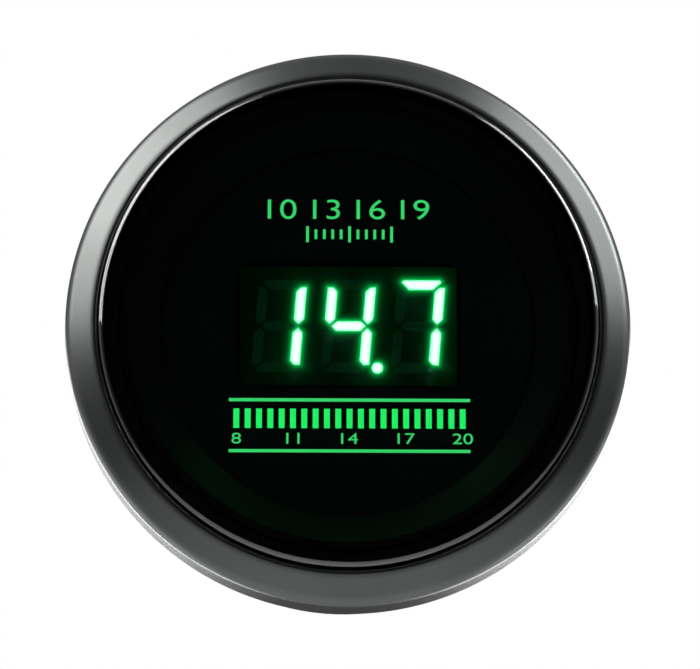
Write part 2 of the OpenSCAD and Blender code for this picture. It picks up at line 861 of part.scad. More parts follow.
// A knurled outline: straight ridges with flat tops
module knurl(radius) {
    step = 360 / nut_ridges;
    polygon([for (i = [0:nut_ridges - 1], corner = [0:3])
        let (a = (i + ridge_shares[corner]) * step, r = corner < 2 ? radius : radius - ridge_d)
            r * [cos(a), sin(a)]]);
}

module thumb_nut() {
    head_z = nut_z - nut_collar_t;
    difference() {
        union() {
            slab(head_z - nut_head_t, head_z) knurl(nut_r);
            drum(nut_collar_r, head_z - fit, nut_z);
        }
        drum(nut_bore_r, head_z - nut_head_t - over, nut_z + over);
    }
}

module nut_left() {
    color([0.7, 0.68, 0.62]) stand_up() translate([-stud_reach, 0, 0]) thumb_nut();
}

module nut_right() {
    color([0.7, 0.68, 0.62]) stand_up() translate([stud_reach, 0, 0]) thumb_nut();
}

cup();
bezel();
lens();
lens_gasket();
dial_ring();
dial_sheet();
light_mask();
upper_diffuser();
lower_diffuser();
display_body();
lit_segments();
unlit_segments();
display_pins();
display_board();
legend_leds();
led_resistors();
board_spacers();
board_screws();
link_header();
link_pins();
main_board();
controller_chip();
controller_leads();
clock_crystal();
voltage_regulator();
power_capacitors();
filter_coil();
chip_resistors();
connector_shroud();
connector_pins();
rear_cover();
cover_gasket();
cover_screws();
mounting_studs();
clamp_bracket();
lock_washers();
nut_left();
nut_right();
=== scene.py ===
"""Looks of the air fuel ratio gauge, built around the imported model."""
import json
import math

import bmesh
import bpy
import numpy as np
from mathutils import Matrix, Vector


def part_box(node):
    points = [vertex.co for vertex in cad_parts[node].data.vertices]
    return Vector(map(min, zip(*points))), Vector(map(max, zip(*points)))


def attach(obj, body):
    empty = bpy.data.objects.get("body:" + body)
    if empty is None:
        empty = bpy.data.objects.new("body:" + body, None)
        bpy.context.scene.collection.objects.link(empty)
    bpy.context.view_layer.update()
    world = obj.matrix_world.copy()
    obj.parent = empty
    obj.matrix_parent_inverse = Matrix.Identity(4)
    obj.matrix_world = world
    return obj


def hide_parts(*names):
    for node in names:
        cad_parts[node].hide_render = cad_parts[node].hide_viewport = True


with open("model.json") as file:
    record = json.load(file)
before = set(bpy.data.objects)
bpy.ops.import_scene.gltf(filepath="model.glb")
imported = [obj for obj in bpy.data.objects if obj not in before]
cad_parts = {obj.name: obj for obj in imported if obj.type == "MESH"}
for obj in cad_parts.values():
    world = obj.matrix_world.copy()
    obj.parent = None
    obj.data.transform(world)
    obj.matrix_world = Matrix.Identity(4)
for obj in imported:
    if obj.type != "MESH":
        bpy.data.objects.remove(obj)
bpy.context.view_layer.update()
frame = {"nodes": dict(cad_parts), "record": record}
MM = 0.001


# Places


def local(x, y, z):
    """A point in millimetres on the gauge: x right, y up, z out of the face."""
    return Vector((x, -z, y)) * MM


def on_circle(radius, angle, z, middle=(0, 0)):
    """A point on a circle about the middle, its angle in radians from the x axis."""
    return local(middle[0] + radius * math.cos(angle), middle[1] + radius * math.sin(angle), z)


def round_angles(steps, start=0.0):
    """The angles of equal steps round a full turn, in radians."""
    return [start + 2 * math.pi * i / steps for i in range(steps)]


def spaced(count, pitch, middle):
    """Places at equal distances, centred on the middle."""
    return [middle + pitch * (i - (count - 1) / 2) for i in range(count)]


def corners_of(node):
    """The lowest and highest corner of a node's box, in millimetres along the frame's axes."""
    low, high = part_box(node)
    return low / MM, high / MM


BEZEL_LOW, BEZEL_HIGH = corners_of("bezel")
LENS_LOW, LENS_HIGH = corners_of("lens")
DISPLAY_LOW, DISPLAY_HIGH = corners_of("display_body")
STUD_LOW, STUD_HIGH = corners_of("mounting_studs")
NUT_LOW, NUT_HIGH = corners_of("nut_right")
COVER_BACK = corners_of("rear_cover")[1].y
SHEET_Z = -corners_of("dial_sheet")[0].y


# Meshes


TURN_STEPS = 288
ARC_STEPS = 14
SMOOTH_ANGLE = 30


def add_piece(name, mesh, body, material, replaced=()):
    """A piece that rides on a body, and stands in for the nodes that it replaces."""
    piece = bpy.data.objects.new(name, mesh)
    bpy.context.scene.collection.objects.link(piece)
    mesh.materials.clear()
    mesh.materials.append(material)
    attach(piece, body)
    if replaced:
        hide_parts(*replaced)


def finished(work, name):
    """The mesh of a bmesh, which is freed."""
    mesh = bpy.data.meshes.new(name)
    work.to_mesh(mesh)
    work.free()
    return mesh


def closed_up(work, name):
    """The mesh of a bmesh, with every face turned outward."""
    bmesh.ops.recalc_face_normals(work, faces=work.faces)
    return finished(work, name)


def joined(name, meshes):
    work = bmesh.new()
    for mesh in meshes:
        work.from_mesh(mesh)
    return finished(work, name)


def smooth(mesh):
    """Smooth shading, with the sharper edges kept crisp."""
    mesh.polygons.foreach_set("use_smooth", [True] * len(mesh.polygons))
    mesh.set_sharp_from_angle(angle=math.radians(SMOOTH_ANGLE))


def bridge(work, a, b):
    """Faces between two rings of vertices, one of which may be a single point."""
    steps = max(len(a), len(b))
    for i in range(steps):
        j = (i + 1) % steps
        corners = [a[i % len(a)], a[j % len(a)], b[j % len(b)], b[i % len(b)]]
        work.faces.new(list(dict.fromkeys(corners)))


def arc(centre, radius, start, end):
    """Points of an arc in the (r, z) plane, angles in degrees from the r axis."""
    angles = [math.radians(start + (end - start) * i / ARC_STEPS) for i in range(ARC_STEPS + 1)]
    return [(centre[0] + radius * math.cos(a), centre[1] + radius * math.sin(a)) for a in angles]


def turned(name, section, closed=True):
    """A mesh turned about the gauge's axis from a section of (r, z) points in millimetres."""
    work = bmesh.new()
    rings = []
    for r, z in section:
        angles = round_angles(TURN_STEPS) if r else [0]
        rings.append([work.verts.new(on_circle(r, a, z)) for a in angles])
    for a, b in zip(rings, rings[1:] + rings[:1] if closed else rings[1:]):
        bridge(work, a, b)
    return closed_up(work, name)


# Node trees


# Noise values lie mostly between these two
NOISE_LOW, NOISE_HIGH = 0.3, 0.7


class Nodes:
    """A node tree with short calls to add to it."""

    def __init__(self, tree):
        self.tree = tree

    def add(self, kind, **values):
        """A new node, with values for its inputs or its own settings."""
        node = self.tree.nodes.new(kind)
        for key, value in values.items():
            if key in node.inputs:
                node.inputs[key].default_value = value
            else:
                setattr(node, key, value)
        return node

    def link(self, source, target):
        self.tree.links.new(source, target)

    def maths(self, operation, *terms):
        """The result of a sum on sockets, the last of which may be a number."""
        node = self.add("ShaderNodeMath", operation=operation)
        for term, target in zip(terms, node.inputs):
            if isinstance(term, float):
                target.default_value = term
            else:
                self.link(term, target)
        return node.outputs[0]

    def spread(self, source, low, high, start=NOISE_LOW, end=NOISE_HIGH):
        """The source's range from start to end, mapped to low to high."""
        node = self.add("ShaderNodeMapRange", **{"From Min": start, "From Max": end,
                                                 "To Min": low, "To Max": high})
        self.link(source, node.inputs["Value"])
        return node.outputs["Result"]


class Surface(Nodes):
    """A material's node tree round its shader."""

    def __init__(self, name, **values):
        self.material = bpy.data.materials.new(name)
        self.material.use_nodes = True
        super().__init__(self.material.node_tree)
        self.shader = self.tree.nodes["Principled BSDF"]
        self.coords = self.add("ShaderNodeTexCoord").outputs["Object"]
        for key, value in values.items():
            self.shader.inputs[key.replace("_", " ")].default_value = value

    def noise(self, size_mm, detail=2.0, stretch=(1, 1, 1)):
        """Noise whose features are about size_mm across."""
        mapping = self.add("ShaderNodeMapping", Scale=stretch)
        self.link(self.coords, mapping.inputs["Vector"])
        noise = self.add("ShaderNodeTexNoise", Scale=1 / (size_mm * MM), Detail=detail)
        self.link(mapping.outputs["Vector"], noise.inputs["Vector"])
        return noise.outputs["Fac"]

    def tint(self, source, low, high, target="Base Color"):
        """The shader's colour, which runs from low to high with the source."""
        ramp = self.add("ShaderNodeValToRGB")
        stops = zip(ramp.color_ramp.elements, (NOISE_LOW, NOISE_HIGH), (low, high))
        for element, place, colour in stops:
            element.position = place
            element.color = (*colour, 1)
        self.link(source, ramp.inputs["Fac"])
        self.link(ramp.outputs["Color"], self.shader.inputs[target])

    def roughen(self, source, low, high):
        """The shader's roughness, which runs from low to high with the source."""
        self.link(self.spread(source, low, high), self.shader.inputs["Roughness"])

    def bump(self, source, depth_mm):
        node = self.add("ShaderNodeBump", Strength=1.0, Distance=depth_mm * MM)
        self.link(source, node.inputs["Height"])
        self.link(node.outputs["Normal"], self.shader.inputs["Normal"])


def scaled(colour, factor):
    return tuple(c * factor for c in colour)


# Materials


MOULDED_TINTS = (0.85, 1.15)
MOULDED_SHEEN = (-0.06, 0.06)
MOULDED_PATCH = 6.0
PLATED_TINTS = (0.82, 1.1)
PLATED_SHEEN = (-0.07, 0.1)
PLATED_DEPTH = 0.002
GLASS_TINTS = (0.97, 1.03)
GLASS_SHEEN = (0.6, 1.4)
GLASS_PATCH = 14.0
MARKS_SIZE = 1.2
COAT_DARK, COAT_PALE = (0.120, 0.126, 0.123), (0.134, 0.141, 0.138)
COAT_SHEEN = (0.27, 0.33)
COAT_GRAIN, COAT_PATCH, COAT_DEPTH = 0.09, 9.0, 0.0016
EDGE_COAT_IOR = 1.9
LIT_BASE = (0.02, 0.05, 0.03, 1)
LIT_PATCH = 0.8
LENS_TINT = (0.36, 0.37, 0.38)
LENS_ROUGH = 0.015
SHEET_TINT = (0.62, 0.64, 0.66)
CORE_STRENGTH = 8.0
# Painted glow of the lit segments' light, given off by a sheet over the display
PAINTED_GLOW_STRENGTH = 5.0
PAINTED_GLOW_DARK, PAINTED_GLOW_PALE = (0.0, 0.9, 0.12), (0.0, 1.0, 0.15)
PAINTED_GLOW_PATCH = 0.5
LEGEND_STRENGTH = 3.4
LEGEND_GREEN = (0.034, 0.56, 0.125)
BAR_GREEN = (0.014, 0.76, 0.11)
LEGEND_SPREAD = 0.1
SEGMENT_MINT = (0.66, 1.0, 0.86)
# The unlit segments glow faintly: painted light, standing in for the lit segments' light spilled
# into them
PAINTED_SPILL_GREEN = (0.004, 0.05, 0.018)
PAINTED_SPILL_STRENGTH = 0.6
WEAVE_GREENS = ((0.012, 0.12, 0.05, 1), (0.016, 0.15, 0.06, 1))
WEAVE_SEAM = (0.03, 0.2, 0.08, 1)
WEAVE_SIZE = 2.4
WEAVE_PATCH = 0.6
WEAVE_SHEEN = (0.3, 0.42)
ALONG_Y = (1, 0.1, 1)
ALONG_Z = (1, 1, 0.04)


def moulded(name, colour, rough, grain=0.12, depth=0.006, specular=0.5):
    """Moulded plastic or rubber: a fine pebbled skin with slow changes of sheen."""
    s = Surface(name, Specular_IOR_Level=specular)
    fine = s.noise(grain, detail=4.0)
    s.tint(s.noise(MOULDED_PATCH), *(scaled(colour, factor) for factor in MOULDED_TINTS))
    s.roughen(fine, *(rough + change for change in MOULDED_SHEEN))
    s.bump(fine, depth)
    return s.material


def plated(name, colour, rough, stretch=(1, 1, 1), grain=0.25, patch=3.0):
    """Plated metal: drawn or tumbled grain, with clouding in the plating."""
    s = Surface(name, Metallic=1.0)
    fine = s.noise(grain, detail=3.0, stretch=stretch)
    s.tint(s.noise(patch, detail=3.0), *(scaled(colour, factor) for factor in PLATED_TINTS))
    s.roughen(fine, *(rough + change for change in PLATED_SHEEN))
    s.bump(fine, PLATED_DEPTH)
    return s.material


def satin_coat(name):
    """Satin charcoal coat with an even, very fine texture."""
    s = Surface(name, Metallic=1.0)
    fine = s.noise(COAT_GRAIN, detail=3.0)
    s.tint(s.noise(COAT_PATCH), COAT_DARK, COAT_PALE)
    s.roughen(fine, *COAT_SHEEN)
    s.bump(fine, COAT_DEPTH)
    return s.material


def smoked(name, colour, rough, ior, coat=0.0):
    """Clear smoked plastic with faint polishing marks."""
    s = Surface(name, Transmission_Weight=1.0, IOR=ior, Coat_Weight=coat, Coat_Roughness=0.02,
                Coat_IOR=EDGE_COAT_IOR)
    s.tint(s.noise(GLASS_PATCH), *(scaled(colour, factor) for factor in GLASS_TINTS))
    s.roughen(s.noise(MARKS_SIZE, detail=5.0), *(rough * factor for factor in GLASS_SHEEN))
    return s.material


def glowing(name, colour, strength, spread):
    """A surface that gives light a little unevenly; on the unlit segments this is a faint painted
    glow.
    """
    s = Surface(name, Base_Color=LIT_BASE, Roughness=0.5, Emission_Strength=strength)
    s.tint(s.noise(LIT_PATCH), scaled(colour, 1 - spread), colour, "Emission Color")
    return s.material


def woven_board(name):
    """Green coated circuit board with its weave showing."""
    s = Surface(name, Coat_Weight=0.4, Coat_Roughness=0.15)
    weave = s.add("ShaderNodeTexBrick", Scale=1 / (WEAVE_SIZE * MM), Color1=WEAVE_GREENS[0],
                  Color2=WEAVE_GREENS[1], Mortar=WEAVE_SEAM)
    s.link(s.coords, weave.inputs["Vector"])
    s.link(weave.outputs["Color"], s.shader.inputs["Base Color"])
    s.roughen(s.noise(WEAVE_PATCH), *WEAVE_SHEEN)
    return s.material


def green_film(name):
    """Painted glow over the display: a sheet that gives green light in place of the lit segments'
    light scattered in the display's face.
    """
    s = Surface(name, Base_Color=(0, 0, 0, 1), Roughness=0.5, Emission_Strength=PAINTED_GLOW_STRENGTH)
    level = s.add("ShaderNodeAttribute", attribute_name="glow").outputs["Fac"]
    s.tint(s.noise(PAINTED_GLOW_PATCH), PAINTED_GLOW_DARK, PAINTED_GLOW_PALE, "Emission Color")
    s.link(level, s.shader.inputs["Alpha"])
    return s.material


SLOTS = {
    "cup_plastic": moulded("cup_plastic", (0.022, 0.022, 0.023), 0.5, grain=0.16, depth=0.008),
    "bezel_coat": satin_coat("bezel_coat"),
    "lens_smoke": smoked("lens_smoke", LENS_TINT, LENS_ROUGH, 1.46),
    "seal_rubber": moulded("seal_rubber", (0.014, 0.014, 0.014), 0.72, grain=0.2, depth=0.01),
    "dial_black": moulded("dial_black", (0.004, 0.004, 0.004), 0.75, grain=0.1, specular=0.15),
    "sheet_tint": smoked("sheet_tint", SHEET_TINT, 0.04, 1.49),
    "diffuser_white": moulded("diffuser_white", (0.72, 0.75, 0.72), 0.55, grain=0.3, depth=0.004),
    "display_black": moulded("display_black", (0.012, 0.016, 0.014), 0.6, grain=0.15, depth=0.004),
    "segment_lit": glowing("segment_lit", SEGMENT_MINT, CORE_STRENGTH, 0.06),
    # The unlit segments' faint glow is painted light spilled from the lit ones
    "segment_dark": glowing("segment_dark", PAINTED_SPILL_GREEN, PAINTED_SPILL_STRENGTH, 0.2),
    "tinned_wire": plated("tinned_wire", (0.72, 0.71, 0.68), 0.3, stretch=ALONG_Y),
    "board_green": woven_board("board_green"),
    "led_resin": moulded("led_resin", (0.78, 0.8, 0.7), 0.35, grain=0.3, depth=0.003),
    "chip_black": moulded("chip_black", (0.03, 0.03, 0.031), 0.6, grain=0.08, depth=0.005),
    "spacer_nylon": moulded("spacer_nylon", (0.7, 0.68, 0.6), 0.45, grain=0.3, depth=0.004),
    "screw_steel": plated("screw_steel", (0.42, 0.42, 0.4), 0.34),
    "pin_gold": plated("pin_gold", (0.82, 0.6, 0.24), 0.22, stretch=ALONG_Y),
    "can_aluminium": plated("can_aluminium", (0.7, 0.71, 0.73), 0.3),
    "coil_ferrite": moulded("coil_ferrite", (0.09, 0.09, 0.095), 0.6, grain=0.2, depth=0.01),
    "connector_plastic": moulded("connector_plastic", (0.03, 0.03, 0.03), 0.42, grain=0.2,
                                 depth=0.004),
    "stud_steel": plated("stud_steel", (0.42, 0.42, 0.4), 0.32),
    "strap_steel": plated("strap_steel", (0.4, 0.4, 0.385), 0.36, stretch=ALONG_Z, grain=0.07,
                          patch=14.0),
    "nut_nickel": plated("nut_nickel", (0.46, 0.44, 0.4), 0.28, patch=5.0),
}
LENS_EDGE = smoked("lens_edge", LENS_TINT, LENS_ROUGH, 1.5, coat=1.0)
RING_SATIN = moulded("ring_satin", (0.012, 0.012, 0.013), 0.5, grain=0.14, depth=0.003,
                     specular=0.3)
DIAL_INK = moulded("dial_ink", (0.022, 0.036, 0.038), 0.45, grain=0.15, depth=0.002,
                   specular=0.3)
LEGEND = glowing("legend_green", LEGEND_GREEN, LEGEND_STRENGTH, LEGEND_SPREAD)
LEGEND_BARS = glowing("legend_bars", BAR_GREEN, LEGEND_STRENGTH, LEGEND_SPREAD)

for entry in frame["record"]["subparts"]:
    node = frame["nodes"][entry["node"]]
    node.data.materials.clear()
    node.data.materials.append(SLOTS[entry["material_slot"]])

# The ring before the dial has more sheen than the rest of its slot
frame["nodes"]["dial_ring"].data.materials[0] = RING_SATIN


# Bezel


BEZEL_R = BEZEL_HIGH.x
FRONT_Z = -BEZEL_LOW.y
SKIRT_Z = -BEZEL_HIGH.y
LIP_R = 26.5
SIDE_TOP_Z = 6.2
SHOULDER_ROUND = 1.8
LIP_ROUND = 0.35
LIP_EASE_R = 2.4
LIP_EASE_TURN = 15
FACE_STEPS = 12
SKIRT_EDGE = 0.25
BEZEL_BORE_R = 29.2
THREAD_BORE_R = 28.35
THREAD_LOW_Z, THREAD_TOP_Z = 1.5, 5.2
LENS_BORE_R = 27.7
LENS_TOP_Z = 6.6


def bezel_section():
    """Side, rounded shoulder, sloped face that eases over into the lip, and the stepped bore."""
    slope = math.atan2(FRONT_Z - SIDE_TOP_Z, BEZEL_R - LIP_R)
    face_normal = 90 - math.degrees(slope)
    lip_normal = face_normal + LIP_EASE_TURN
    shoulder_z = SIDE_TOP_Z - SHOULDER_ROUND * math.tan(math.radians(face_normal) / 2)
    outside = arc((BEZEL_R - SHOULDER_ROUND, shoulder_z), SHOULDER_ROUND, 0, face_normal)
    face_start = outside[-1]

    # The lip's small arc lies within the larger one that eases the face into it
    inset = LIP_EASE_R - LIP_ROUND
    ease_r = LIP_R + LIP_ROUND - inset * math.cos(math.radians(lip_normal))
    face_end_r = ease_r + LIP_EASE_R * math.sin(slope)
    face_end_z = face_start[1] + (face_start[0] - face_end_r) * math.tan(slope)
    ease_z = face_end_z - LIP_EASE_R * math.cos(slope)
    ease = arc((ease_r, ease_z), LIP_EASE_R, face_normal, lip_normal)
    lip_z = ease_z + inset * math.sin(math.radians(lip_normal))
    lip = arc((LIP_R + LIP_ROUND, lip_z), LIP_ROUND, lip_normal, 180)

    shares = [i / FACE_STEPS for i in range(1, FACE_STEPS)]
    face = [(face_start[0] + (face_end_r - face_start[0]) * t,
             face_start[1] + (face_end_z - face_start[1]) * t) for t in shares]
    skirt = [(BEZEL_BORE_R, SKIRT_Z), (BEZEL_R - SKIRT_EDGE, SKIRT_Z),
             (BEZEL_R, SKIRT_Z + SKIRT_EDGE)]
    bore = [(LIP_R, LENS_TOP_Z), (LENS_BORE_R, LENS_TOP_Z), (LENS_BORE_R, THREAD_TOP_Z),
            (THREAD_BORE_R, THREAD_TOP_Z), (THREAD_BORE_R, THREAD_LOW_Z),
            (BEZEL_BORE_R, THREAD_LOW_Z)]
    return skirt + outside + face + ease[:-1] + lip + bore


def make_bezel():
    mesh = turned("bezel_shell", bezel_section())
    smooth(mesh)
    add_piece("bezel_shell", mesh, "bezel_ring", SLOTS["bezel_coat"], ("bezel",))


make_bezel()


# Lens


LENS_R = LENS_HIGH.x
LENS_BACK_Z = -LENS_HIGH.y
LENS_BODY_R = 26.3
LENS_ROUND = 0.9
LENS_EDGE_SLOPE = 50
LENS_CROWN = 0.2
LENS_FRONT_Z = -LENS_LOW.y
LENS_FLAT_R = LENS_BODY_R - LENS_ROUND * math.sin(math.radians(LENS_EDGE_SLOPE))


def lens_section():
    """Flange, body, rounded edge and a slightly crowned front, from the axis to the axis."""
    crown_r = (LENS_FLAT_R ** 2 + LENS_CROWN ** 2) / (2 * LENS_CROWN)
    crown_start = 90 - math.degrees(math.asin(LENS_FLAT_R / crown_r))
    crown = arc((0, LENS_FRONT_Z - crown_r), crown_r, crown_start, 90)
    edge_z = LENS_FRONT_Z - LENS_CROWN - LENS_ROUND
    edge = arc((LENS_FLAT_R, edge_z), LENS_ROUND, 90 - LENS_EDGE_SLOPE, crown_start)
    return ([(0, LENS_BACK_Z), (LENS_R, LENS_BACK_Z), (LENS_R, LENS_TOP_Z),
             (LENS_BODY_R, LENS_TOP_Z)]
            + edge + crown[1:-1] + [(0, LENS_FRONT_Z)])


def make_lens():
    """The lens, whose edge has a bright polish that its front doesn't have."""
    mesh = turned("lens_glass", lens_section(), closed=False)
    smooth(mesh)
    add_piece("lens_glass", mesh, "window", SLOTS["lens_smoke"], ("lens",))
    mesh.materials.append(LENS_EDGE)
    for face in mesh.polygons:
        at_edge = math.hypot(face.center.x, face.center.z) > LENS_FLAT_R * MM
        face.material_index = 1 if at_edge else 0


make_lens()


# Studs


STUD_R = 2.0
THREAD_PITCH = 0.7
THREAD_DEPTH = 0.36
STUD_CHAMFER = 0.5
HEAD_T = 2.6
HEAD_FLATS = 7.0
LEFT_TURN, RIGHT_TURN = 0.0, math.pi / 6
ROUND_STEPS = 40
PITCH_STEPS = 10


def stud_mesh(x, head_turn):
    """A stud with a rolled thread behind the cover and a hexagonal head inside it, the head
    turned by an angle from having corners at its sides."""
    work = bmesh.new()

    def ring(radii, y, start=0.0):
        angles = round_angles(len(radii), start)
        return [work.verts.new(on_circle(r, a, -y, (x, 0))) for r, a in zip(radii, angles)]

    rings = []
    count = int((STUD_HIGH.y - COVER_BACK) / THREAD_PITCH * PITCH_STEPS)
    for k in range(count + 1):
        along = k * THREAD_PITCH / PITCH_STEPS
        limit = STUD_R - STUD_CHAMFER + along
        phases = [(k / PITCH_STEPS - i / ROUND_STEPS) % 1 for i in range(ROUND_STEPS)]
        radii = [min(STUD_R - THREAD_DEPTH * abs(2 * phase - 1), limit) for phase in phases]
        rings.append(ring(radii, STUD_HIGH.y - along))
    head_y = STUD_LOW.y + HEAD_T
    rings += [ring([STUD_R] * ROUND_STEPS, y) for y in (COVER_BACK, head_y)]
    work.faces.new(rings[0])
    for a, b in zip(rings, rings[1:]):
        bridge(work, a, b)

    corners = [HEAD_FLATS / math.sqrt(3)] * 6
    ends = [ring(corners, y, head_turn) for y in (head_y, STUD_LOW.y)]
    for end in ends:
        work.faces.new(end)
    bridge(work, *ends)
    return closed_up(work, "stud")


def make_studs():
    reach = (NUT_LOW.x + NUT_HIGH.x) / 2
    mesh = joined("stud_rods", [stud_mesh(-reach, LEFT_TURN), stud_mesh(reach, RIGHT_TURN)])
    smooth(mesh)
    add_piece("stud_rods", mesh, "housing", SLOTS["stud_steel"],
              ("mounting_studs",))


make_studs()


# Dial print


PRINT_R = 19.9
PRINT_T = 0.05
WINDOW_EDGE = 0.3
WINDOW_POWER = 14


def window_point(angle):
    """The display window's outline in the direction of the angle: a squarish superellipse."""
    half_w = (DISPLAY_HIGH.x - DISPLAY_LOW.x) / 2 + WINDOW_EDGE
    half_h = (DISPLAY_HIGH.z - DISPLAY_LOW.z) / 2 + WINDOW_EDGE
    c, s = math.cos(angle), math.sin(angle)
    reach = (abs(c / half_w) ** WINDOW_POWER + abs(s / half_h) ** WINDOW_POWER)
    reach **= -1 / WINDOW_POWER
    return reach * c, reach * s


def make_print():
    """Black ink on the dial's front sheet, with the display window left clear."""
    middle_x = (DISPLAY_LOW.x + DISPLAY_HIGH.x) / 2
    middle_y = (DISPLAY_LOW.z + DISPLAY_HIGH.z) / 2
    angles = round_angles(TURN_STEPS)
    windows = [window_point(a) for a in angles]
    work = bmesh.new()
    rims = []
    for z in (SHEET_Z, SHEET_Z + PRINT_T):
        rims.append(([work.verts.new(local(middle_x + x, middle_y + y, z)) for x, y in windows],
                     [work.verts.new(on_circle(PRINT_R, a, z)) for a in angles]))
    (in_low, out_low), (in_top, out_top) = rims
    rings = (in_low, out_low, out_top, in_top)
    for a, b in zip(rings, rings[1:] + rings[:1]):
        bridge(work, a, b)
    add_piece("dial_print", closed_up(work, "dial_print"), "housing", DIAL_INK)


make_print()


# Legends


MARK_Z = SHEET_Z + PRINT_T
MARK_T = 0.04
LEGEND_X = 0.2
NUMBER_EXTRUDE = 0.02
BAR_FACES = ((4, 5, 6, 7), (3, 2, 1, 0), (0, 1, 5, 4), (1, 2, 6, 5), (2, 3, 7, 6), (3, 0, 4, 7))

# Upper numbers and the ticks below them
UPPER_NUMBERS = (10, 13, 16, 19)
UPPER_X, UPPER_Y = 0.1, 13.5
UPPER_H, UPPER_PITCH = 2.15, 4.75
UPPER_OFFSET, UPPER_STRETCH = -0.004, 1.3
TICKS, TICKS_BETWEEN = 11, 5
TICK_Y, TICK_PITCH = 10.75, 0.9
TICK_W, TICK_H, SHORT_TICK_H = 0.3, 1.75, 1.05

# Scale below the display: two rules, and between them bars over numbers
SCALE_Y = -10.1
RULE_REACH, RULE_W, RULE_H = 2.75, 25.6, 0.34
BARS, BAR_PITCH = 21, 1.2
BAR_RISE, BAR_W, BAR_H = 0.75, 0.62, 2.1
SCALE_NUMBERS = (8, 11, 14, 17, 20)
SCALE_PITCH, SCALE_DROP = 6, 1.4
SCALE_H, SCALE_STRETCH = 1.15, 1.4


def bar_mesh(x, y, width, height):
    """A flat upright bar on the dial, its middle at (x, y)."""
    work = bmesh.new()
    corners = []
    for z in (MARK_Z, MARK_Z + MARK_T):
        for side, end in ((-1, -1), (1, -1), (1, 1), (-1, 1)):
            corners.append(work.verts.new(local(x + side * width / 2, y + end * height / 2, z)))
    for face in BAR_FACES:
        work.faces.new([corners[i] for i in face])
    return closed_up(work, "bar")


def number_mesh(number, x, y, height, offset, stretch):
    """A plain number, brought to the height and the marks' thickness, centred on (x, y)."""
    curve = bpy.data.curves.new("number", "FONT")
    curve.body = str(number)
    curve.align_x = "CENTER"
    curve.extrude = NUMBER_EXTRUDE
    curve.offset = offset
    holder = bpy.data.objects.new("number", curve)
    bpy.context.scene.collection.objects.link(holder)
    bpy.context.view_layer.update()
    solid = holder.evaluated_get(bpy.context.evaluated_depsgraph_get())
    mesh = bpy.data.meshes.new_from_object(solid)
    bpy.data.objects.remove(holder)
    co = np.array([v.co for v in mesh.vertices])
    low, high = co.min(0), co.max(0)
    scale = height / (high[1] - low[1])
    depth = high[2] - low[2]
    for v in mesh.vertices:
        v.co = local(x + (v.co.x - (low[0] + high[0]) / 2) * scale * stretch,
                     y + (v.co.y - (low[1] + high[1]) / 2) * scale,
                     MARK_Z + (v.co.z - low[2]) / depth * MARK_T)
    return mesh


def number_row(numbers, x, y, pitch, height, offset, stretch):
    places = spaced(len(numbers), pitch, x)
    return [number_mesh(n, place, y, height, offset, stretch)
            for n, place in zip(numbers, places)]


def make_legends():
    tick_heights = [SHORT_TICK_H if i % TICKS_BETWEEN else TICK_H for i in range(TICKS)]
    tick_places = spaced(TICKS, TICK_PITCH, LEGEND_X)
    bar_places = spaced(BARS, BAR_PITCH, LEGEND_X)
    legends = (
        ("upper_numbers", LEGEND, number_row(UPPER_NUMBERS, UPPER_X, UPPER_Y, UPPER_PITCH,
                                             UPPER_H, UPPER_OFFSET, UPPER_STRETCH)),
        ("upper_ticks", LEGEND, [bar_mesh(x, TICK_Y, TICK_W, height)
                                 for x, height in zip(tick_places, tick_heights)]),
        ("scale_rules", LEGEND, [bar_mesh(LEGEND_X, SCALE_Y + reach, RULE_W, RULE_H)
                                 for reach in (-RULE_REACH, RULE_REACH)]),
        ("scale_bars", LEGEND_BARS, [bar_mesh(x, SCALE_Y + BAR_RISE, BAR_W, BAR_H)
                                     for x in bar_places]),
        ("scale_numbers", LEGEND, number_row(SCALE_NUMBERS, LEGEND_X, SCALE_Y - SCALE_DROP,
                                             SCALE_PITCH, SCALE_H, 0.0, SCALE_STRETCH)),
    )
    for name, material, meshes in legends:
        add_piece(name, joined(name, meshes), "housing", material)


make_legends()


# Painted glow over the display


# The painted glow sheet's grid, its gap over the display, and how its glow falls off from the lit
# segments
GLOW_SHEET_STEP = 0.1
GLOW_SHEET_GAP = 0.02
NEAR_REACH, FAR_REACH = 0.18, 1.0
NEAR_GLOW, FAR_GLOW, EVEN_GLOW = 0.72, 0.022, 0.002
IN_PLANE = 1e-6
VERY_FAR, VERY_SHORT = 1e9, 1e-12


def lit_edges():
    """Ends of the edges round the front faces of the lit segments, as (x, y) pairs."""
    mesh = frame["nodes"]["lit_segments"].data
    front = min(v.co.y for v in mesh.vertices)
    counts = {}
    for face in mesh.polygons:
        spots = [mesh.vertices[v].co for v in face.vertices]
        if all(abs(co.y - front) < IN_PLANE for co in spots):
            spots = [(round(co.x / MM, 4), round(co.z / MM, 4)) for co in spots]
            for a, b in zip(spots, spots[1:] + spots[:1]):
                key = (min(a, b), max(a, b))
                counts[key] = counts.get(key, 0) + 1
    return np.array([key for key, count in counts.items() if count == 1])


